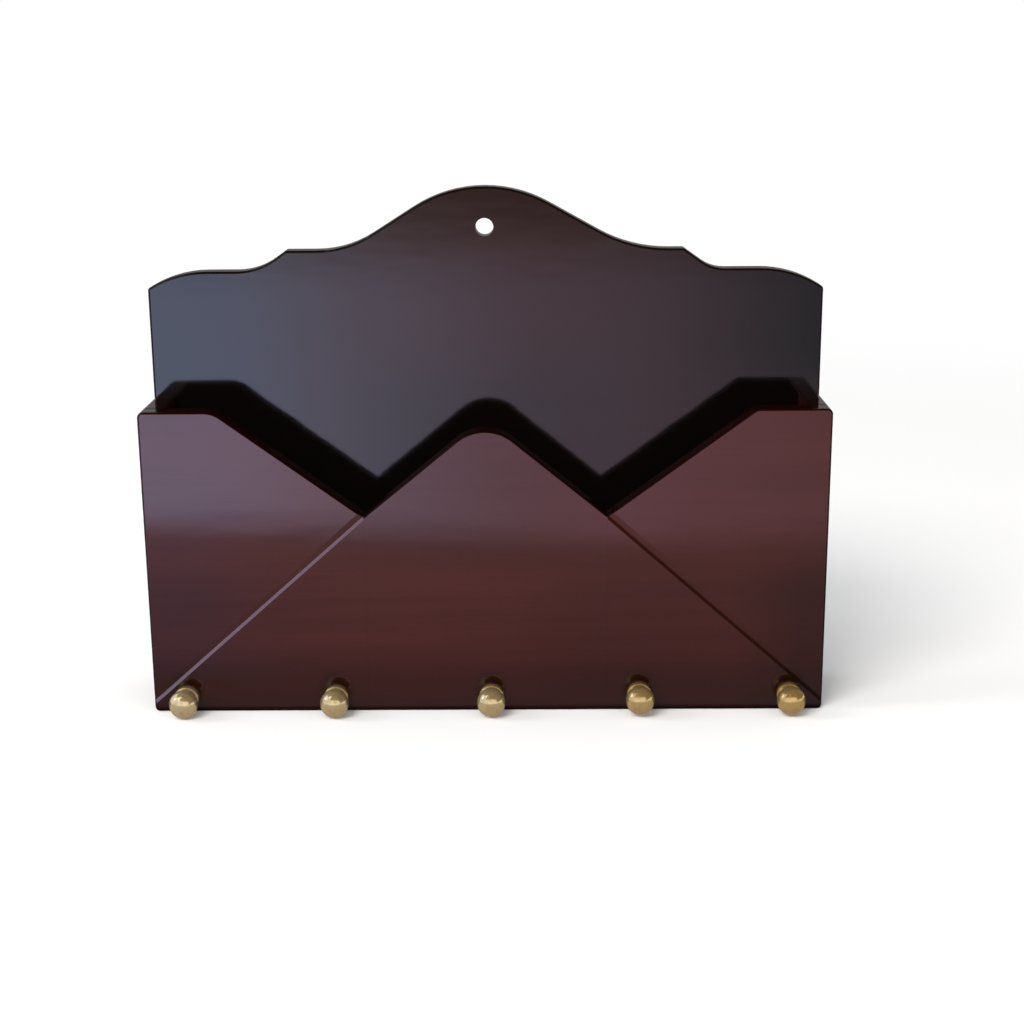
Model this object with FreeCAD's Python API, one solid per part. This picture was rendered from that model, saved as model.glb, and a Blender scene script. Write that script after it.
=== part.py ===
# Wall mail organizer shaped like an open envelope, with a row of key knobs.
#
# Millimetres. The origin is the centre of the hanging hole, on the wall plane.
# X runs to the right, Y runs into the wall and Z runs up, so the front faces -Y.
# Heights named here are measured up from the bottom edge of the boards.

import math
import os

import FreeCAD
import Part

# Overall sizes of the wooden body
width = 300.0
crown_height = 229.7
board = 9.5
pocket_depth = 28.0
pocket_height = 137.5
floor_board = 9.5

# Crest of the back panel, from the crown out to the side. Each drop is down from the crown
crown_radius = 59.0
valley_drop = 27.5
cusp_reach = 88.0
cusp_radius = 1.2
cove_angle = 35.4
shoulder_drop = 36.5
shoulder_radius = 50.0

# The crest is shaped by hand, so its left and right halves differ a little
left_flank_angle = 32.0
right_flank_angle = 29.0
left_valley_radius = 47.0
right_valley_radius = 64.0
left_cove_radius = 30.0
right_cove_radius = 18.0
left_shoulder_angle = 30.1
right_shoulder_angle = 32.0
left_side_drop = 43.9
right_side_drop = 45.0

# Hanging hole in the back panel, below the crown
hole_drop = 17.7
hole_radius = 4.0

# Upper edge of the front panel, with two flaps and a peak like an envelope's
notch_drop = 47.0
notch_reach = 53.3
notch_radius = 0.8
flap_angle = 36.3
left_flap_radius = 12.5
right_flap_radius = 4.0
peak_angle = 39.4
peak_radius = 19.4

# Carved lines that carry the envelope's folds down to the lower corners. Each is steep on
# the side of the middle flap and rises gently on the side of the outer flap
fold_depth = 0.7
fold_steep = 0.75
fold_gentle = 2.4
fold_end_height = 4.7

# Corners of the outlines, and the arrises eased with sandpaper
top_corner = 1.6
box_corner = 2.6
bottom_corner = 2.2
arris = 1.0

# Key knobs, turned brass with a ball-like head, each on a double-ended stud
knob_count = 5
knob_margin = 15.0
knob_height = 7.0
collar_radius = 5.6
collar_length = 2.2
collar_round = 0.75
neck_radius = 4.3
neck_place = 3.5
head_flare = 0.15
head_radius = 6.4
head_middle = 8.6
knob_length = 13.8
stud_radius = 1.5
stud_in_knob = 6.0
stud_in_wood = 8.0
stud_point = 2.0

# How far each knob sits from its even place, to the right and up, from left to right
knob_offsets = ((-0.3, -0.4), (-0.5, -0.2), (1.8, 0.0), (0.5, 0.7), (0.0, 0.3))

# Countersunk screws that hold the back panel to the box
screw_length = 19.0
screw_radius = 1.42
screw_head_radius = 2.85
screw_point = 3.5
screw_sunk = 0.3
recess_width = 0.8
recess_reach = 1.7
recess_depth = 1.0
side_screw_low = 24.0
side_screw_drop = 25.5
floor_screw_reach = 70.0

# Clearance round studs and screws, and how far a cutter runs past a face
fastener_gap = 0.05
overrun = 2.0

# Heights and planes worked out from the sizes above
valley_height = crown_height - valley_drop
shoulder_height = crown_height - shoulder_drop
notch_height = pocket_height - notch_drop
side_screw_high = pocket_height - side_screw_drop
bottom = hole_drop - crown_height
back_front = -board
inner_front = back_front - pocket_depth
front_face = inner_front - board
half_width = width / 2
inner_half = half_width - board
knob_axis = bottom + knob_height
to_wall = FreeCAD.Vector(0, 1, 0)


def up(height):
    """Z of a height measured from the bottom edge."""
    return bottom + height


def slope(angle):
    """Rise for each millimetre along, at an angle in degrees."""
    return math.tan(math.radians(angle))


def rounded_outline(corners, y):
    """A closed wire in the plane of y through corners (x, z, radius), each one rounded."""
    places = [FreeCAD.Vector(x, y, z) for x, z, radius in corners]
    sides = [place - places[index - 1] for index, place in enumerate(places)]
    sides.append(sides[0])
    halves = []
    reaches = []
    for index, (x, z, radius) in enumerate(corners):
        half = (sides[index] * -1).getAngle(sides[index + 1]) / 2
        halves.append(half)
        reaches.append(radius / math.tan(half))
    # A rounding is limited by the two sides that it shares with its neighbours
    shares = [min(1, side.Length / (reaches[index % len(reaches)] + reaches[index - 1]))
              for index, side in enumerate(sides)]
    rounds = []
    for index, (x, z, radius) in enumerate(corners):
        share = min(shares[index], shares[index + 1])
        before = (sides[index] * -1).normalize()
        after = (sides[index + 1] * 1).normalize()
        reach = reaches[index] * share
        depth = radius * share * (1 / math.sin(halves[index]) - 1)
        here = places[index]
        middle = here + (before + after).normalize() * depth
        rounds.append((here + before * reach, middle, here + after * reach))
    edges = []
    for index, (start, middle, end) in enumerate(rounds):
        if (end - start).Length > 1e-6:
            edges.append(Part.Arc(start, middle, end).toShape())
        following = rounds[(index + 1) % len(rounds)][0]
        if (following - end).Length > 1e-6:
            edges.append(Part.LineSegment(end, following).toShape())
    return Part.Wire(edges)


def board_from(corners, y, thickness):
    """A flat board with a rounded outline, from plane y towards the wall."""
    return Part.Face(rounded_outline(corners, y)).extrude(to_wall * thickness)


def eased(shape, radius, planes):
    """Round the long arrises that lie in the given planes of y."""
    chosen = []
    for edge in shape.Edges:
        box = edge.BoundBox
        flat = box.YLength < 1e-6
        if flat and any(abs(box.YMin - plane) < 1e-6 for plane in planes):
            chosen.append(edge)
    return shape.makeFillet(radius, chosen)


def block(x_range, y_range, z_range):
    """A plain block between two corners."""
    size = [high - low for low, high in (x_range, y_range, z_range)]
    corner = FreeCAD.Vector(x_range[0], y_range[0], z_range[0])
    return Part.makeBox(size[0], size[1], size[2], corner)


def turned(profile, x, y, z):
    """A turned piece. The profile is a closed list of edges in radius (X) and length (Y)."""
    solid = Part.Face(Part.Wire(profile)).revolve(FreeCAD.Vector(0, 0, 0), to_wall, 360)
    solid.translate(FreeCAD.Vector(x, y, z))
    return solid


def path(points):
    """Straight profile edges through (radius, length) points, closed."""
    corners = [FreeCAD.Vector(radius, length, 0) for radius, length in points]
    return Part.makePolygon(corners + corners[:1]).Edges


def knob_places():
    """X and Z of each key knob: spaced evenly between the end margins, then offset."""
    first = knob_margin - half_width
    pitch = -2 * first / (knob_count - 1)
    places = []
    for index in range(knob_count):
        right, higher = knob_offsets[index % len(knob_offsets)]
        places.append((first + index * pitch + right, knob_axis + higher))
    return places


def screw_places():
    """X and Z of each screw through the back panel."""
    places = []
    for side in (-1, 1):
        side_middle = side * (half_width - board / 2)
        places.append((side_middle, up(side_screw_low)))
        places.append((side_middle, up(side_screw_high)))
        places.append((side * floor_screw_reach, up(floor_board / 2)))
    return places


def screw_body(gap):
    """A countersunk screw along Y with its head at the wall, grown all round by a gap."""
    top = -screw_sunk
    tip = top - screw_length - gap
    shank = screw_radius + gap
    head = screw_head_radius + gap
    under_head = top - (head - shank)
    return turned(path([(0, top), (head, top), (shank, under_head),
                        (shank, tip + screw_point), (0, tip)]), 0, 0, 0)


def screw_hole(x, z):
    """The cutter for a screw's hole, open to the wall."""
    hole = screw_body(fastener_gap)
    mouth = Part.makeCylinder(screw_head_radius + fastener_gap, screw_sunk + overrun,
                              FreeCAD.Vector(0, -screw_sunk, 0), to_wall)
    hole = hole.fuse(mouth)
    hole.translate(FreeCAD.Vector(x, 0, z))
    return hole


def stud_body(gap):
    """A knob's stud along Y: round in the knob, pointed in the wood. Y = 0 is the front face."""
    radius = stud_radius + gap
    outer = -stud_in_knob - gap
    tip = stud_in_wood + gap
    return turned(path([(0, outer), (radius, outer), (radius, tip - stud_point), (0, tip)]),
                  0, 0, 0)


def stud_at(x, z, gap):
    """A stud, or the cutter for its hole, at a knob's place."""
    stud = stud_body(gap)
    stud.translate(FreeCAD.Vector(x, front_face, z))
    return stud


def flank_rise(angle):
    """Height above the crown's centre where a flank at this angle would reach the middle."""
    return crown_radius / math.cos(math.radians(angle))


def crest_half(side, flank_angle, valley_radius, cove_radius, shoulder_angle, side_drop):
    """The corners of one half of the crest, from the crown's valley out and down the side."""
    side_height = crown_height - side_drop
    crown_centre = crown_height - crown_radius
    valley_reach = (crown_centre + flank_rise(flank_angle) - valley_height) / slope(flank_angle)
    cove_reach = cusp_reach + (valley_height - shoulder_height) / slope(cove_angle)
    shoulder_reach = half_width - (shoulder_height - side_height) / slope(shoulder_angle)
    return [
        (side * valley_reach, up(valley_height), valley_radius),
        (side * cusp_reach, up(valley_height), cusp_radius),
        (side * cove_reach, up(shoulder_height), cove_radius),
        (side * shoulder_reach, up(shoulder_height), shoulder_radius),
        (side * half_width, up(side_height), top_corner),
        (side * half_width, bottom, bottom_corner),
    ]


def back_panel():
    """The tall back with its scalloped crest and hanging hole."""
    right_rise = flank_rise(right_flank_angle)
    both_slopes = slope(right_flank_angle) + slope(left_flank_angle)
    crown_place = (right_rise - flank_rise(left_flank_angle)) / both_slopes
    crown_point = crown_height - crown_radius + right_rise - crown_place * slope(right_flank_angle)
    right_half = crest_half(1, right_flank_angle, right_valley_radius, right_cove_radius,
                            right_shoulder_angle, right_side_drop)
    left_half = crest_half(-1, left_flank_angle, left_valley_radius, left_cove_radius,
                           left_shoulder_angle, left_side_drop)
    crown = (crown_place, up(crown_point), crown_radius)
    panel = board_from([crown] + right_half + left_half[::-1], back_front, board)
    panel = eased(panel, arris, (back_front, 0))
    # Below the pocket's top the front arris stays square, where the box is glued on
    for side in (-1, 1):
        outer = sorted((side * half_width, side * (half_width - arris)))
        panel = panel.fuse(block(outer, (back_front, back_front + arris),
                                 (up(bottom_corner), up(pocket_height - box_corner))))
    hole = Part.makeCylinder(hole_radius, board + 2 * overrun,
                             FreeCAD.Vector(0, back_front - overrun, 0), to_wall)
    panel = panel.cut(hole)
    for x, z in screw_places():
        panel = panel.cut(screw_hole(x, z))
    return panel.removeSplitter()


def fold_line(side):
    """The cutter for one carved line, from a notch to beyond the side of the front panel."""
    start = FreeCAD.Vector(side * notch_reach, front_face, up(notch_height))
    end = FreeCAD.Vector(side * half_width, front_face, up(fold_end_height))
    along = (end - start).normalize()
    outward = FreeCAD.Vector(-along.z, 0, along.x) * side
    start = start - along * fold_gentle
    length = (end - start).Length + overrun
    out_of_wood = to_wall * -overrun
    inner_lip = start - outward * fold_steep / 2
    deepest = start + outward * fold_steep / 2 + to_wall * fold_depth
    outer_lip = start + outward * (fold_steep / 2 + fold_gentle)
    section = Part.makePolygon([inner_lip, deepest, outer_lip, outer_lip + out_of_wood,
                                inner_lip + out_of_wood, inner_lip])
    return Part.Face(section).extrude(along * length)


def front_panel():
    """The front board, cut and carved like the flaps of an envelope."""
    flap_reach = notch_reach + (pocket_height - notch_height) / slope(flap_angle)
    peak = notch_height + notch_reach * slope(peak_angle)
    outline = [
        (0, up(peak), peak_radius),
        (notch_reach, up(notch_height), notch_radius),
        (flap_reach, up(pocket_height), right_flap_radius),
        (half_width, up(pocket_height), box_corner),
        (half_width, bottom, bottom_corner),
        (-half_width, bottom, bottom_corner),
        (-half_width, up(pocket_height), box_corner),
        (-flap_reach, up(pocket_height), left_flap_radius),
        (-notch_reach, up(notch_height), notch_radius),
    ]
    panel = board_from(outline, front_face, board)
    panel = eased(panel, arris, (front_face, inner_front))
    # The inner arris stays square where the sides and the floor are glued on
    inner = (inner_front - arris, inner_front)
    for side in (-1, 1):
        outer = sorted((side * half_width, side * inner_half))
        panel = panel.fuse(block(outer, inner, (up(bottom_corner), up(pocket_height - box_corner))))
    panel = panel.fuse(block((-inner_half, inner_half), inner, (bottom, up(floor_board))))
    for side in (-1, 1):
        panel = panel.cut(fold_line(side))
    for x, z in knob_places():
        panel = panel.cut(stud_at(x, z, fastener_gap))
    return panel.removeSplitter()


def side_board(side):
    """One end of the pocket, between the front and the back. Side is -1 or 1."""
    outline = [
        (side * half_width, up(pocket_height), box_corner),
        (side * half_width, bottom, bottom_corner),
        (side * inner_half, bottom, 0),
        (side * inner_half, up(pocket_height), arris),
    ]
    end = board_from(outline, inner_front, pocket_depth)
    for x, z in screw_places():
        end = end.cut(screw_hole(x, z))
    return end


def bottom_board():
    """The floor of the pocket, between the two sides."""
    floor = block((-inner_half, inner_half), (inner_front, back_front), (bottom, up(floor_board)))
    for x, z in screw_places():
        floor = floor.cut(screw_hole(x, z))
    return floor


def key_knob(x, z):
    """A turned knob: a rounded collar at the wood, a hollow neck and a ball-like head."""
    def at(radius, length):
        return FreeCAD.Vector(radius, -length, 0)

    def arc(first, middle, last):
        return Part.Arc(first, middle, last).toShape()

    def line(first, last):
        return Part.LineSegment(first, last).toShape()

    collar_core = collar_radius - collar_round
    collar_land = collar_length - collar_round
    diagonal = collar_round / math.sqrt(2)
    collar_edge = at(collar_radius, collar_land)
    collar_front = at(collar_core, collar_length)
    depth = knob_length - head_middle
    join_radius = neck_radius + (head_radius - neck_radius) * head_flare
    join_turn = math.acos(join_radius / head_radius)
    join = at(join_radius, head_middle - depth * math.sin(join_turn))
    head = Part.Ellipse(at(0, head_middle), head_radius, depth)
    profile = [
        line(at(0, 0), at(collar_radius, 0)),
        line(at(collar_radius, 0), collar_edge),
        arc(collar_edge, at(collar_core + diagonal, collar_land + diagonal), collar_front),
        arc(collar_front, at(neck_radius, neck_place), join),
        Part.ArcOfEllipse(head, -math.pi / 2, join_turn).toShape(),
        line(at(0, knob_length), at(0, 0)),
    ]
    knob = turned(profile, x, front_face, z)
    return knob.cut(stud_at(x, z, fastener_gap))


def back_screw(x, z):
    """A countersunk screw with a cross recess, driven from the wall side."""
    screw = screw_body(0)
    floor = -screw_sunk - recess_depth
    for reach_x, reach_z in ((recess_reach, recess_width / 2), (recess_width / 2, recess_reach)):
        screw = screw.cut(block((-reach_x, reach_x), (floor, overrun), (-reach_z, reach_z)))
    screw.translate(FreeCAD.Vector(x, 0, z))
    return screw


def all_nodes():
    """Every piece by its node name."""
    nodes = {
        "back_panel": back_panel(),
        "front_panel": front_panel(),
        "left_side": side_board(-1),
        "right_side": side_board(1),
        "bottom_board": bottom_board(),
    }
    for number, (x, z) in enumerate(knob_places(), start=1):
        nodes[f"key_knob_{number}"] = key_knob(x, z)
        nodes[f"knob_stud_{number}"] = stud_at(x, z, 0)
    for number, (x, z) in enumerate(screw_places(), start=1):
        nodes[f"back_screw_{number}"] = back_screw(x, z)
    return nodes


def write_parts():
    """Write each piece to its own file and print its size."""
    os.makedirs("parts", exist_ok=True)
    for node, shape in all_nodes().items():
        shape.exportStep(f"parts/{node}.step")
        box = shape.BoundBox
        print(f"{node}: {len(shape.Solids)} solid, volume {shape.Volume:.1f}, valid {shape.isValid()},",
              f"{box.XLength:.2f} x {box.YLength:.2f} x {box.ZLength:.2f}")


write_parts()
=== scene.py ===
import math
import bpy
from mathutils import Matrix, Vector


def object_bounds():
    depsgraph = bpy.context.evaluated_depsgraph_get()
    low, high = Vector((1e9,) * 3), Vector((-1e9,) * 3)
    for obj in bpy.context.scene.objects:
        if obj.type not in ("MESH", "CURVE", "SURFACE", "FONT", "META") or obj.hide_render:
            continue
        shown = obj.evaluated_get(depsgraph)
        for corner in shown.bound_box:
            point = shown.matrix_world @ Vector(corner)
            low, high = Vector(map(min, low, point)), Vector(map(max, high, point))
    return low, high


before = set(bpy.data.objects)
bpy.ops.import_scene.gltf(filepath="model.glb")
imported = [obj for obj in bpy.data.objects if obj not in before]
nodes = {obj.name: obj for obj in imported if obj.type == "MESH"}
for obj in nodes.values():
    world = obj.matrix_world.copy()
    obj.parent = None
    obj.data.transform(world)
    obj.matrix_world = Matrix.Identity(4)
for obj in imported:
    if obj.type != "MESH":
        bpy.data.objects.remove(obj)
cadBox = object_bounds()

bpy.ops.object.select_all(action="DESELECT")


def newTree(name):
    material = bpy.data.materials.new(name)
    material.use_nodes = True
    material.node_tree.nodes.clear()
    return material, material.node_tree


def addNode(tree, kind, sockets=None, **settings):
    node = tree.nodes.new(kind)
    for key, value in settings.items():
        setattr(node, key, value)
    for socket, value in (sockets or {}).items():
        if isinstance(value, bpy.types.NodeSocket):
            tree.links.new(value, node.inputs[socket])
        else:
            node.inputs[socket].default_value = value
    return node


def calc(tree, operation, first, second=0.0, third=0.0, clamp=False):
    return addNode(tree, "ShaderNodeMath", {0: first, 1: second, 2: third},
                   operation=operation, use_clamp=clamp).outputs[0]


def rescale(tree, value, low, high, toLow=0.0, toHigh=1.0):
    return addNode(tree, "ShaderNodeMapRange",
                   {"Value": value, "From Min": low, "From Max": high,
                    "To Min": toLow, "To Max": toHigh}).outputs["Result"]


def rgb(colour):
    return (colour[0], colour[1], colour[2], 1.0)


# A ramp holds no colour above 1, so gain scales its stops down and its output back up
def ramp(tree, factor, stops, interpolation="LINEAR", gain=1.0):
    node = addNode(tree, "ShaderNodeValToRGB", {"Fac": factor})
    band = node.color_ramp
    band.interpolation = interpolation
    while len(band.elements) < len(stops):
        band.elements.new(0.5)
    for element, (place, colour) in zip(band.elements, stops):
        colour = colour if isinstance(colour, tuple) else (colour, colour, colour)
        element.position = place
        element.color = rgb([level / gain for level in colour])
    if gain == 1.0:
        return node.outputs["Color"]
    return addNode(tree, "ShaderNodeVectorMath", {0: node.outputs["Color"], "Scale": gain},
                   operation="SCALE").outputs[0]


def mixColour(tree, kind, factor, first, second):
    node = addNode(tree, "ShaderNodeMix", data_type="RGBA", blend_type=kind)
    for socket, value in ((node.inputs[0], factor), (node.inputs[6], first), (node.inputs[7], second)):
        if isinstance(value, bpy.types.NodeSocket):
            tree.links.new(value, socket)
        elif isinstance(value, tuple):
            socket.default_value = rgb(value)
        else:
            socket.default_value = value
    return node.outputs[2]


def noise(tree, vector, scale, detail=2.0, roughness=0.5, distortion=0.0):
    return addNode(tree, "ShaderNodeTexNoise",
                   {"Vector": vector, "Scale": scale, "Detail": detail,
                    "Roughness": roughness, "Distortion": distortion}).outputs["Fac"]


def placed(tree, shift=(0, 0, 0), stretch=(1, 1, 1), turn=(0, 0, 0)):
    source = addNode(tree, "ShaderNodeTexCoord").outputs["Object"]
    return addNode(tree, "ShaderNodeMapping",
                   {"Vector": source, "Location": shift, "Scale": stretch,
                    "Rotation": tuple(math.radians(a) for a in turn)}).outputs["Vector"]


cameraSetup = {
    "place": (0.01894, -0.77832, 0.07661),  # metres from the hanging hole
    "turn": (74.9786, 0.4298, 0.4597),      # degrees
    "lens": 60.98,                          # on a 36 mm square frame
}
bpy.ops.object.camera_add(location=cameraSetup["place"],
                          rotation=tuple(math.radians(a) for a in cameraSetup["turn"]))
camera = bpy.context.object
camera.name = "mainCamera"
camera.data.lens = cameraSetup["lens"]
camera.data.sensor_width = 36.0
camera.data.sensor_fit = "HORIZONTAL"
camera.data.dof.use_dof = False
bpy.context.scene.camera = camera
bpy.context.scene.view_settings.view_transform = "Standard"
print("camera placed")


floorZ = cadBox[0][2]           # the organizer stands on its bottom edges
floorSetup = {
    "reach": 30.0,              # metres
    "seen": (0.90, 0.90, 0.90),
    "bounced": (0.22, 0.21, 0.20),
    "fadeFrom": 0.40,           # metres from the organizer, where the floor starts to turn white
    "fadeTo": 1.10,
}


def lightPathSeen(tree):
    path = addNode(tree, "ShaderNodeLightPath")
    seen = calc(tree, "MAXIMUM", path.outputs["Is Camera Ray"], path.outputs["Is Glossy Ray"])
    return calc(tree, "MAXIMUM", seen, path.outputs["Is Transmission Ray"])


def floorMaterial(look):
    material, tree = newTree("paleFloor")
    seen = lightPathSeen(tree)
    colour = mixColour(tree, "MIX", seen, look["bounced"], look["seen"])
    matt = addNode(tree, "ShaderNodeBsdfDiffuse", {"Color": colour, "Roughness": 0.5})
    white = addNode(tree, "ShaderNodeEmission", {"Color": (1, 1, 1, 1), "Strength": 1.0})
    source = placed(tree)
    away = addNode(tree, "ShaderNodeVectorMath", {0: source}, operation="LENGTH").outputs["Value"]
    fade = addNode(tree, "ShaderNodeMapRange",
                   {"Value": away, "From Min": look["fadeFrom"], "From Max": look["fadeTo"]},
                   interpolation_type="SMOOTHSTEP").outputs["Result"]
    both = calc(tree, "MULTIPLY", fade, seen)
    mixed = addNode(tree, "ShaderNodeMixShader", {0: both, 1: matt.outputs[0], 2: white.outputs[0]})
    addNode(tree, "ShaderNodeOutputMaterial", {"Surface": mixed.outputs[0]})
    return material


bpy.ops.mesh.primitive_plane_add(size=floorSetup["reach"] * 2, location=(0, 0, floorZ))
floor = bpy.context.object
floor.name = "paleFloor"
floor.data.materials.append(floorMaterial(floorSetup))

# Cards that only mirror-like rays see stand in for the room that the lacquer and brass reflect.
# The floor's card is tuned for the main camera's view, and from elsewhere it is only a plausible room
floorCardLook = {
    "eye": (0.019, 0.730, 0.289),  # camera mirrored in the front board: across, behind, above floor
    "front": -0.047,               # y of the front board's face
    "behind": 3.0,                 # metres
    "ahead": 6.0,
    "half": 3.5,
    "lift": 0.0005,                # above the floor
    "strength": 3.0,
    "sideReach": 0.5,              # metres across for each metre away, where the colour ramps end
    "window": [(0.00, (0.10, 0.10, 0.12)), (0.16, (0.12, 0.12, 0.14)), (0.22, (0.62, 0.70, 0.98)),
               (0.31, (0.68, 0.76, 1.13)), (0.365, (0.69, 0.64, 0.88)), (0.475, (0.56, 0.40, 0.52)),
               (0.575, (0.41, 0.29, 0.36)), (0.69, (0.24, 0.20, 0.22)), (1.00, (0.12, 0.10, 0.10))],
    "windowGain": 1.2,
    "windowFrom": (0.275, 0.286),  # drop for each metre away where the bright part starts
    "windowAcross": (-0.18, 0.0),  # where across those two drops lie
    "windowBlur": 0.010,
    "middle": -0.025,              # the line across that the two middle patches lie round
    "patches": {                   # ranges across (or off the middle) and of drop that fade a tone in
        "farRight": ((0.09, 0.19), (0.205, 0.190), (0.56, 0.69, 0.74)),
        "nearMiddle": ((0.10, 0.04), (0.175, 0.205), (0.84, 0.97, 0.98)),
        "farMiddle": ((0.10, 0.04), (0.135, 0.112), (1.0, 0.91, 0.84)),
    },
    "far": [(0.0, (0.28, 0.22, 0.16)), (0.23, (0.46, 0.38, 0.29)), (0.54, (0.78, 0.72, 0.66)),
            (0.85, (1.0, 1.0, 1.0))],
    "farFrom": 0.072,              # drops between which the far end dims
    "farTo": 0.150,
    # the first stops paint the organizer's own shadow on the reflected table, close in front of the board
    "table": [(0.00, (0.010, 0.008, 0.012)), (0.010, (0.030, 0.026, 0.030)),
              (0.018, (0.118, 0.099, 0.097)), (0.10, (0.115, 0.096, 0.094)),
              (0.16, (0.109, 0.094, 0.094)), (0.27, (0.118, 0.101, 0.101)),
              (0.55, (0.145, 0.128, 0.128)), (0.82, (0.165, 0.148, 0.148))],
    "tableReach": 0.30,            # metres in front of the board
    "tintFrom": (0.035, 0.065),    # metres in front of the board where the tint fades in
    "tableTint": [(0.29, (0.88, 1.26, 1.75)), (0.35, (1.0, 1.08, 1.18)), (0.5, (1.0, 1.0, 1.0)),
                  (0.65, (1.0, 0.95, 0.95)), (0.75, (0.70, 0.75, 0.80))],
    "tintGain": 2.0,
}
plainCards = {
    "ceilingCard": {"place": (0, 0.1, 0.95), "turn": (0, 0, 0), "size": (2.2, 1.3),
                    "colour": (0.09, 0.05, 0.02), "strength": 1.0},
    "rearCard": {"place": (0, 1.2, 0.30), "turn": (90, 0, 0), "size": (4.0, 1.3),
                 "colour": (0.30, 0.27, 0.27), "strength": 1.0},
    "frontHighCard": {"place": (0.585, -0.42, 0.4765), "turn": (90, 0, 0), "size": (1.83, 0.947),
                      "colour": (0.13, 0.075, 0.025), "strength": 1.0},
    "frontLowCard": {"place": (0, -2.5, 0.575), "turn": (90, 0, 0), "size": (6.0, 1.35),
                     "colour": (0.75, 0.71, 0.69), "strength": 1.0},
    "rightCard": {"place": (2.0, -0.5, 1.15), "turn": (0, 90, 0), "size": (2.1, 4.0),
                  "colour": (0.11, 0.07, 0.035), "strength": 1.0},
    "leftCard": {"place": (-2.05, -0.5, 0.95), "turn": (0, 90, 0), "size": (2.1, 4.0),
                 "colour": (0.55, 0.54, 0.68), "strength": 1.0},
    "leftWindowCard": {"place": (-2.0, -0.48, 0.93), "turn": (0, 90, 0), "size": (0.75, 0.32),
                       "colour": (0.95, 0.72, 1.0), "strength": 3.7},
}


def floorCardMaterial(look):
    material, tree = newTree("reflectedRoom")
    split = addNode(tree, "ShaderNodeSeparateXYZ", {0: placed(tree)})
    away = calc(tree, "SUBTRACT", look["front"] + look["eye"][1], split.outputs["Y"])
    across = calc(tree, "DIVIDE", calc(tree, "SUBTRACT", split.outputs["X"], look["eye"][0]), away)
    drop = calc(tree, "DIVIDE", look["eye"][2], away)
    side = rescale(tree, across, -look["sideReach"], look["sideReach"])
    window = ramp(tree, side, look["window"], "CARDINAL", gain=look["windowGain"])
    far = ramp(tree, rescale(tree, drop, look["farFrom"], look["farTo"]), look["far"])
    window = mixColour(tree, "MULTIPLY", 1.0, window, far)
    offMiddle = calc(tree, "ABSOLUTE", calc(tree, "SUBTRACT", across, look["middle"]))
    for name, (sideRange, dropRange, tone) in look["patches"].items():
        sideways = offMiddle if name.endswith("Middle") else across
        patch = calc(tree, "MULTIPLY", rescale(tree, sideways, *sideRange), rescale(tree, drop, *dropRange))
        window = mixColour(tree, "MULTIPLY", patch, window, tone)
    ahead = calc(tree, "SUBTRACT", look["front"], split.outputs["Y"])
    table = ramp(tree, rescale(tree, ahead, 0.0, look["tableReach"]), look["table"])
    table = mixColour(tree, "MULTIPLY", rescale(tree, ahead, *look["tintFrom"]), table,
                      ramp(tree, side, look["tableTint"], gain=look["tintGain"]))
    edge = rescale(tree, across, *look["windowAcross"], *look["windowFrom"])
    near = rescale(tree, calc(tree, "SUBTRACT", drop, edge), -look["windowBlur"], look["windowBlur"])
    behind = calc(tree, "LESS_THAN", away, look["eye"][1])
    colour = mixColour(tree, "MIX", calc(tree, "MAXIMUM", near, behind), window, table)
    glow = addNode(tree, "ShaderNodeEmission", {"Color": colour, "Strength": look["strength"]})
    addNode(tree, "ShaderNodeOutputMaterial", {"Surface": glow.outputs[0]})
    return material


def plainCardMaterial(name, look):
    material, tree = newTree(name)
    glow = addNode(tree, "ShaderNodeEmission", {"Color": rgb(look["colour"]), "Strength": look["strength"]})
    addNode(tree, "ShaderNodeOutputMaterial", {"Surface": glow.outputs[0]})
    return material


def addCard(name, place, turn, size, material):
    bpy.ops.mesh.primitive_plane_add(size=1, location=place, rotation=[math.radians(a) for a in turn])
    card = bpy.context.object
    card.name = name
    card.scale = (size[0], size[1], 1)
    bpy.ops.object.transform_apply(location=True, rotation=True, scale=True)
    card.data.materials.append(material)
    card.visible_camera = False
    card.visible_diffuse = False
    card.visible_transmission = False
    card.visible_shadow = False
    card.visible_volume_scatter = False


floorCardDepth = floorCardLook["behind"] + floorCardLook["ahead"]
floorCardMiddle = (floorCardLook["behind"] - floorCardLook["ahead"]) / 2
addCard("floorCard", (0, floorCardMiddle, floorZ + floorCardLook["lift"]), (0, 0, 0),
        (floorCardLook["half"] * 2, floorCardDepth), floorCardMaterial(floorCardLook))
for name, look in plainCards.items():
    addCard(name, look["place"], look["turn"], look["size"], plainCardMaterial(name, look))

worldSetup = {"seen": 1.0, "light": 0.68}
world = bpy.data.worlds.new("studio")
bpy.context.scene.world = world
world.use_nodes = True
worldTree = world.node_tree
worldTree.nodes.clear()
level = rescale(worldTree, lightPathSeen(worldTree), 0.0, 1.0, worldSetup["light"], worldSetup["seen"])
sky = addNode(worldTree, "ShaderNodeBackground", {"Color": (1, 1, 1, 1), "Strength": level})
addNode(worldTree, "ShaderNodeOutputWorld", {"Surface": sky.outputs[0]})

softboxes = {
    "keySoftbox": {"place": (-0.9, -1.6, 1.5), "aim": (0, 0, -0.1), "size": (1.4, 1.0),
                   "power": 34.0, "colour": (1.0, 0.97, 0.93)},
    "leftStrip": {"place": (-1.5, -0.15, 0.62), "aim": (0, -0.05, -0.15), "size": (0.5, 0.5),
                  "power": 9.0, "colour": (0.92, 0.94, 1.0)},
}


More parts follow.
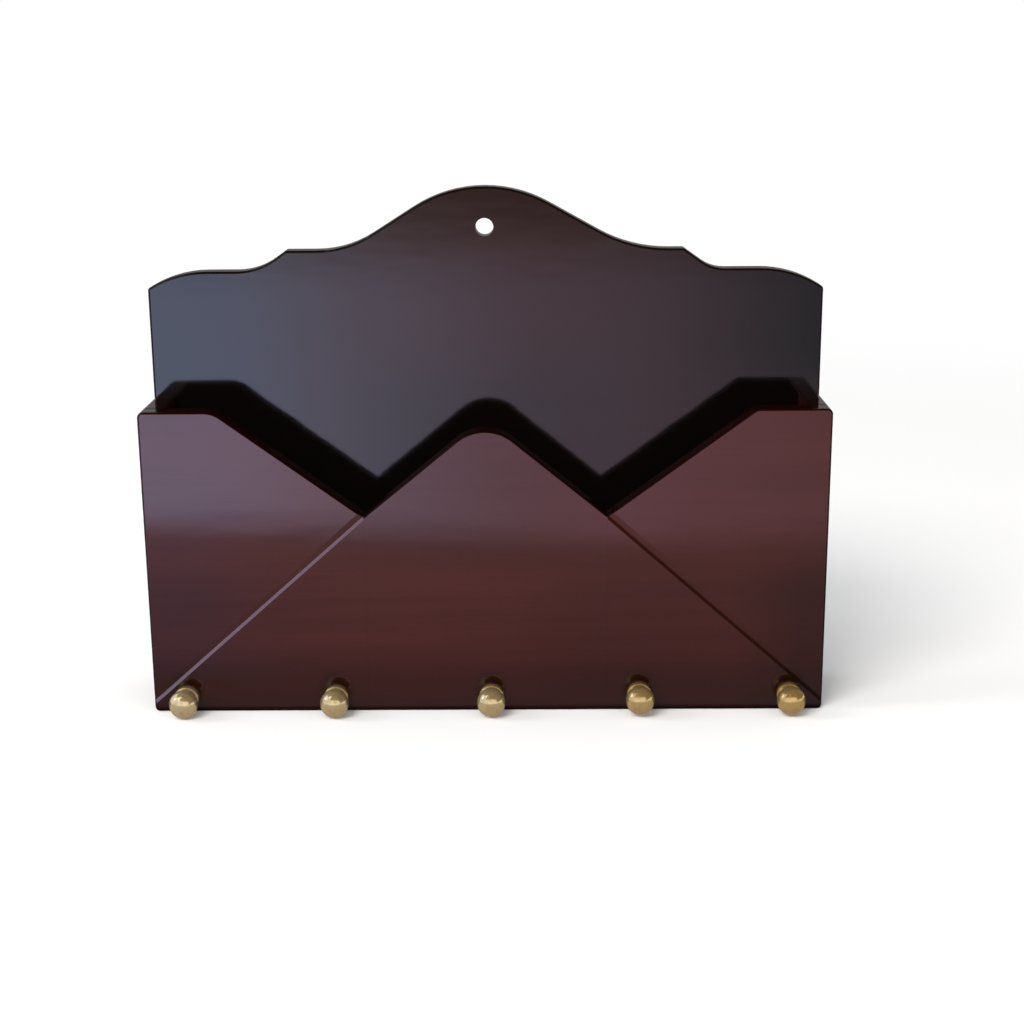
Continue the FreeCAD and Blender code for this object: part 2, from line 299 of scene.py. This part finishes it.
def addSoftbox(name, look):
    bpy.ops.object.light_add(type="AREA", location=look["place"])
    lamp = bpy.context.object
    lamp.name = name
    lamp.data.shape = "RECTANGLE"
    lamp.data.size, lamp.data.size_y = look["size"]
    lamp.data.energy = look["power"]
    lamp.data.color = look["colour"]
    aim = [a - p for a, p in zip(look["aim"], look["place"])]
    flat = math.hypot(aim[0], aim[1])
    lamp.rotation_euler = (math.atan2(flat, -aim[2]), 0, math.atan2(-aim[0], aim[1]))
    lamp.visible_glossy = False
    return lamp


for name, look in softboxes.items():
    addSoftbox(name, look)
print("floor, cards, sky and softboxes in place")


woodLook = {                                  # what all the boards share
    "grain": (2.2, 14.0, 30.0),               # stretch of the broad figure, along x, y and z
    "streaks": (12.0, 160.0, 420.0),
    "ripple": (22.0, 60.0, 75.0),             # in the lacquer
    "grainNoise": (1.6, 4.0, 0.55, 0.6),      # scale, detail, roughness and distortion
    "streakNoise": (1.0, 3.0, 0.6),
    "poreNoise": (3.2, 2.0, 0.7),
    "rippleNoise": (1.0, 2.0, 0.45),
    "broadShare": 0.75,                       # of the tone, and the rest is fine streaks
    "toneSpread": [(0.30, 0.0), (0.70, 1.0)],
    "pores": [(0.60, 1.0), (0.74, 0.82)],
    "roughness": 0.46,                        # under the lacquer
    "rippleBump": {"Strength": 0.10, "Distance": 0.0006},
    "poreBump": {"Strength": 0.15, "Distance": 0.0003},
    "insideHalf": 0.141,                      # edges have less lacquer only between the side boards
}
frontLook = {
    "shift": (0.0, 0.0, 0.0),                 # moves the grain, so that no two boards match
    "deep": (0.058, 0.0092, 0.0078),          # the stain in the grain's dark and light parts
    "warm": (0.077, 0.0140, 0.0122),
    # painted shade up the board, darkest at its bottom edge, then painted light and shade across its lower
    # and its upper part
    "paintedShadeUp": [(0.0, 0.16), (0.006, 0.20), (0.012, 0.39), (0.03, 0.47), (0.074, 0.60),
                (0.126, 0.78), (0.23, 0.93), (0.32, 1.0)],
    "lowPaintedLight": [(0.0, 0.86), (0.08, 0.90), (0.16, 1.08), (0.38, 1.26), (0.54, 1.22), (0.66, 0.98),
                  (0.86, 1.0), (0.96, 0.62)],
    "highPaintedLight": [(0.0, 1.10), (0.16, 1.05), (0.36, 0.84), (0.54, 0.84), (0.68, 1.02), (1.0, 1.10)],
    "acrossGain": 1.5,
    "highFrom": (0.055, 0.085),                     # metres above the floor where low turns to high
    "edge": ("Y", -0.046995, -0.04696, 0.10, 0.3),  # from, to, then the painted shade and the lacquer of the top faces and edges
    "knobShade": (0.004, 0.004, 0.009, 0.45),       # rise, inner and outer radius, and tone of the painted shade round a knob, where its shadow and dark reflection lie
    "sideTone": (0.5, 0.66, 0.66),                  # the outer side faces match the side boards
    "sideSkin": 0.0001,
    "coatRoughness": 0.085,
    "fold": {                                       # the carved lines, measured across the groove
        "top": (0.0533, -0.1215),                   # x from the middle, and z
        "across": (0.664, 0.748),                   # direction across the line, x and z
        "bed": (0.0006, 0.0029),                    # middle and half width of the strip that isn't an edge
        "bedFront": -0.0462,                        # the strip lies in front of this y
        "rim": (-0.75, -0.0009),                    # slope and drop of the flap's rim above the strip
        "steepLip": (-0.00036, -0.00112, 0.0, 0.0007),  # beside the line from, to, then the lip's rise
        "gentleLip": (0.002775, 0.000375, 0.0, 0.0006),
        "lipBump": {"Strength": 1.0, "Distance": 1.0},
        "groove": (-0.0005, 0.0006),                # middle and half width of the groove's bottom, which gets painted shade
        "grooveTone": (0.4, 0.4, 0.4),
    },
}
backLook = {
    "shift": (0.37, 0.0, 0.81),
    "deep": (0.0034, 0.0021, 0.0021),
    "warm": (0.0052, 0.0028, 0.0027),
    # painted shade: darker toward the bottom
    "paintedShadeUp": [(0.0, 0.8), (1.0, 1.0)],
    "edge": ("Y", -0.00945, -0.0092, 0.6, 0.8),
    "rear": (-0.0003, -0.0001, (0.021, 0.0052, 0.0044)),  # y from, y to, and the hidden side's stain
    "coatRoughness": 0.085,
}
boxLook = {
    "shift": (0.11, 0.2, 0.43),
    "deep": (0.030, 0.0065, 0.0055),
    "warm": (0.044, 0.0105, 0.0095),
    # painted shade: darker toward the bottom
    "paintedShadeUp": [(0.0, 0.8), (1.0, 1.0)],
    "edge": ("Z", -0.0758, -0.0751, 0.15, 1.0),
    "coatRoughness": 0.10,
}


def knobAxis(node):  # the middle of a knob's outline, seen from the front
    corners = [node.matrix_world @ Vector(corner) for corner in node.bound_box]
    across = [corner.x for corner in corners]
    height = [corner.z for corner in corners]
    return ((min(across) + max(across)) / 2, 0, (min(height) + max(height)) / 2)


def axisDistance(tree, source, axes):  # to the nearest of the knobs' axes, 1 metre at most
    flat = addNode(tree, "ShaderNodeVectorMath", {0: source, 1: (1, 0, 1)}, operation="MULTIPLY").outputs[0]
    nearest = 1.0
    for axis in axes:
        toAxis = addNode(tree, "ShaderNodeVectorMath", {0: flat, 1: axis}, operation="DISTANCE")
        nearest = calc(tree, "MINIMUM", toAxis.outputs["Value"], nearest)
    return nearest


knobAxes = [knobAxis(node) for name, node in nodes.items() if name.startswith("key_knob")]


def woodGrain(tree, look):
    grain = placed(tree, look["shift"], woodLook["grain"])
    streaks = placed(tree, look["shift"], woodLook["streaks"])
    broad = noise(tree, grain, *woodLook["grainNoise"])
    fine = noise(tree, streaks, *woodLook["streakNoise"])
    pores = noise(tree, streaks, *woodLook["poreNoise"])
    fineTone = calc(tree, "MULTIPLY", fine, 1.0 - woodLook["broadShare"])
    tone = calc(tree, "MULTIPLY_ADD", broad, woodLook["broadShare"], fineTone)
    spread = ramp(tree, tone, woodLook["toneSpread"], "EASE")
    colour = mixColour(tree, "MIX", spread, look["deep"], look["warm"])
    colour = mixColour(tree, "MULTIPLY", 1.0, colour, ramp(tree, pores, woodLook["pores"]))
    return colour, pores


def paintedLightAndShade(tree, look, place, colour):  # painted shade up a board, painted light and shade across it, and painted shade round the knobs
    # painted shade: each board is darker toward its bottom
    low = ramp(tree, rescale(tree, place["Z"], cadBox[0][2], cadBox[1][2]), look["paintedShadeUp"])
    colour = mixColour(tree, "MULTIPLY", 1.0, colour, low)
    # painted light and shade: broad lighter and darker bands across the board's lower and upper part
    if "lowPaintedLight" in look:
        along = rescale(tree, place["X"], cadBox[0][0], cadBox[1][0])
        high = rescale(tree, place["Z"], *[floorZ + height for height in look["highFrom"]])
        lowPart, highPart = (ramp(tree, along, look[part], gain=look["acrossGain"])
                             for part in ("lowPaintedLight", "highPaintedLight"))
        colour = mixColour(tree, "MULTIPLY", 1.0, colour, mixColour(tree, "MIX", high, lowPart, highPart))
    # painted shade round each knob, where its shadow and its dark reflection in the lacquer lie
    if "knobShade" in look:
        rise, inside, outside, shade = look["knobShade"]
        toKnob = axisDistance(tree, placed(tree, (0, 0, -rise)), knobAxes)
        nearKnob = rescale(tree, toKnob, outside, inside)
        colour = mixColour(tree, "MULTIPLY", nearKnob, colour, (shade, shade, shade))
    return colour


def foldMasks(tree, look, place):  # the strip beside a carved line, its raised lip and its bottom, which gets painted shade
    outX = calc(tree, "SUBTRACT", calc(tree, "ABSOLUTE", place["X"]), look["top"][0])
    upZ = calc(tree, "SUBTRACT", place["Z"], look["top"][1])
    acrossX, acrossZ = look["across"]
    beside = calc(tree, "MULTIPLY_ADD", outX, acrossX, calc(tree, "MULTIPLY", upZ, acrossZ))
    outer = calc(tree, "GREATER_THAN", outX, 0.0)
    inBed = calc(tree, "COMPARE", beside, *look["bed"])
    inBed = calc(tree, "MULTIPLY", inBed, calc(tree, "LESS_THAN", place["Y"], look["bedFront"]))
    rimSlope, rimDrop = look["rim"]
    belowRim = calc(tree, "LESS_THAN", calc(tree, "MULTIPLY_ADD", outX, rimSlope, upZ), rimDrop)
    steepLip, gentleLip = (rescale(tree, beside, *look[side]) for side in ("steepLip", "gentleLip"))
    lip = calc(tree, "ADD", steepLip, gentleLip)
    groove = calc(tree, "COMPARE", beside, *look["groove"])
    return (calc(tree, "MULTIPLY", inBed, belowRim), calc(tree, "MULTIPLY", lip, outer),
            calc(tree, "MULTIPLY", groove, outer))


def lacqueredWood(name, look):
    material, tree = newTree(name)
    colour, pores = woodGrain(tree, look)
    place = addNode(tree, "ShaderNodeSeparateXYZ", {0: placed(tree)}).outputs
    colour = paintedLightAndShade(tree, look, place, colour)
    axis, edgeFrom, edgeTo, edgeShade, edgeCoat = look["edge"]
    onEdge = rescale(tree, place[axis], edgeFrom, edgeTo)
    offMiddle = calc(tree, "ABSOLUTE", place["X"])
    if "sideTone" in look:
        onSide = calc(tree, "GREATER_THAN", offMiddle, cadBox[1][0] - look["sideSkin"])
        colour = mixColour(tree, "MULTIPLY", onSide, colour, look["sideTone"])
        onEdge = calc(tree, "MULTIPLY", onEdge, calc(tree, "SUBTRACT", 1.0, onSide))
    bumpStart = {}
    if "fold" in look:
        inBed, lip, groove = foldMasks(tree, look["fold"], place)
        onEdge = calc(tree, "MULTIPLY", onEdge, calc(tree, "SUBTRACT", 1.0, inBed))
        # painted shade in the bottom of each carved groove
        colour = mixColour(tree, "MULTIPLY", groove, colour, look["fold"]["grooveTone"])
        lipBump = addNode(tree, "ShaderNodeBump", {**look["fold"]["lipBump"], "Height": lip})
        bumpStart = {"Normal": lipBump.outputs[0]}
    # painted shade on the top faces and edges
    colour = mixColour(tree, "MULTIPLY", onEdge, colour, (edgeShade, edgeShade, edgeShade))
    inside = calc(tree, "LESS_THAN", offMiddle, woodLook["insideHalf"])
    coat = calc(tree, "MULTIPLY_ADD", calc(tree, "MULTIPLY", onEdge, inside), edgeCoat - 1.0, 1.0)
    if "rear" in look:
        rearFrom, rearTo, rearStain = look["rear"]
        colour = mixColour(tree, "MIX", rescale(tree, place["Y"], rearFrom, rearTo), colour, rearStain)

    ripple = noise(tree, placed(tree, look["shift"], woodLook["ripple"]), *woodLook["rippleNoise"])
    wave = addNode(tree, "ShaderNodeBump", {**woodLook["rippleBump"], **bumpStart, "Height": ripple})
    woodBump = addNode(tree, "ShaderNodeBump", {**woodLook["poreBump"], **bumpStart, "Height": pores})
    shader = addNode(tree, "ShaderNodeBsdfPrincipled", {
        "Base Color": colour, "Roughness": woodLook["roughness"], "Specular IOR Level": 0.0,
        "Coat Weight": coat, "Coat Roughness": look["coatRoughness"], "Coat IOR": 1.5,
        "Normal": woodBump.outputs[0], "Coat Normal": wave.outputs[0]})
    addNode(tree, "ShaderNodeOutputMaterial", {"Surface": shader.outputs[0]})
    return material


frontWood = lacqueredWood("frontBoardLacquer", frontLook)
backWood = lacqueredWood("backBoardLacquer", backLook)
boxWood = lacqueredWood("boxBoardLacquer", boxLook)


brassLook = {
    "clean": (0.97, 0.75, 0.385),
    "aged": (0.80, 0.58, 0.27),
    "age": [(0.46, 0.0), (0.74, 1.0)],
    # each knob has its own tone, paler and bluer at the left and more golden at the right
    "across": [(0.06, (1.03, 1.14, 1.30)), (0.28, (0.96, 1.06, 1.13)), (0.50, (0.97, 1.06, 1.12)),
               (0.74, (0.90, 0.90, 0.80)), (0.94, (0.91, 0.87, 0.70))],
    "acrossGain": 1.5,
    "collar": (-0.0500, -0.0490, (0.70, 0.62, 0.50)),  # darker toward the wood, tarnish and painted shade where the collar meets the board: y from, y to, tone
    "roughness": (0.14, 0.25),
    "spots": 420.0,              # noise cells for each metre
    "spotRange": (0.3, 0.7),
    "turningMarks": 5200.0,      # noise cells for each metre along the lathe's cut
    "turningSlope": 1.3,
    "turningFrom": (0.0004, 0.0015),  # radii between which the marks start
    "turningBump": {"Strength": 0.10, "Distance": 0.00003},
}


def brass(look, axes):
    material, tree = newTree("turnedBrass")
    source = placed(tree)
    radius = axisDistance(tree, source, axes)
    place = addNode(tree, "ShaderNodeSeparateXYZ", {0: source}).outputs
    lathe = calc(tree, "MULTIPLY_ADD", place["Y"], look["turningSlope"], radius)
    rings = addNode(tree, "ShaderNodeTexNoise", {"W": lathe, "Scale": look["turningMarks"], "Detail": 2.0},
                    noise_dimensions="1D").outputs["Fac"]
    rings = calc(tree, "MULTIPLY", rings, rescale(tree, radius, *look["turningFrom"]))
    spots = noise(tree, source, look["spots"], 3.0, 0.6)
    age = ramp(tree, spots, look["age"], "EASE")
    colour = mixColour(tree, "MIX", age, look["clean"], look["aged"])
    along = rescale(tree, place["X"], cadBox[0][0], cadBox[1][0])
    golden = ramp(tree, along, look["across"], gain=look["acrossGain"])
    colour = mixColour(tree, "MULTIPLY", 1.0, colour, golden)
    # tarnish and painted shade on the collar, darker toward the wood
    collarFrom, collarTo, collarTone = look["collar"]
    onCollar = rescale(tree, place["Y"], collarFrom, collarTo)
    colour = mixColour(tree, "MULTIPLY", onCollar, colour, collarTone)
    rough = rescale(tree, spots, *look["spotRange"], *look["roughness"])
    bump = addNode(tree, "ShaderNodeBump", {**look["turningBump"], "Height": rings})
    shader = addNode(tree, "ShaderNodeBsdfPrincipled", {
        "Base Color": colour, "Metallic": 0.85, "Roughness": rough, "Normal": bump.outputs[0]})
    addNode(tree, "ShaderNodeOutputMaterial", {"Surface": shader.outputs[0]})
    return material


steelLook = {
    "bright": (0.60, 0.60, 0.58),
    "dull": (0.34, 0.34, 0.34),
    "roughness": (0.28, 0.46),
    "spots": 900.0,              # noise cells for each metre
    "brush": (600.0, 3000.0, 3000.0),
    "brushBump": {"Strength": 0.2, "Distance": 0.00004},
}


def zincSteel(look):
    material, tree = newTree("zincPlatedSteel")
    spots = noise(tree, placed(tree), look["spots"], 3.0, 0.6)
    brushed = noise(tree, placed(tree, stretch=look["brush"]), 1.0, 2.0)
    colour = mixColour(tree, "MIX", spots, look["dull"], look["bright"])
    rough = rescale(tree, spots, 0.0, 1.0, *look["roughness"])
    bump = addNode(tree, "ShaderNodeBump", {**look["brushBump"], "Height": brushed})
    shader = addNode(tree, "ShaderNodeBsdfPrincipled", {
        "Base Color": colour, "Metallic": 1.0, "Roughness": rough, "Normal": bump.outputs[0]})
    addNode(tree, "ShaderNodeOutputMaterial", {"Surface": shader.outputs[0]})
    return material


knobBrass = brass(brassLook, knobAxes)
screwSteel = zincSteel(steelLook)
print("lacquered wood, brass and steel mixed")

finishes = {"front_panel": frontWood, "back_panel": backWood, "left_side": boxWood,
            "right_side": boxWood, "bottom_board": boxWood}
for name, node in nodes.items():
    if name.startswith("key_knob"):
        finishes[name] = knobBrass
    elif name.startswith(("knob_stud", "back_screw")):
        finishes[name] = screwSteel
    for slot in range(len(node.material_slots)):
        node.material_slots[slot].material = finishes[name]
print("finishes given to", len(finishes), "pieces")
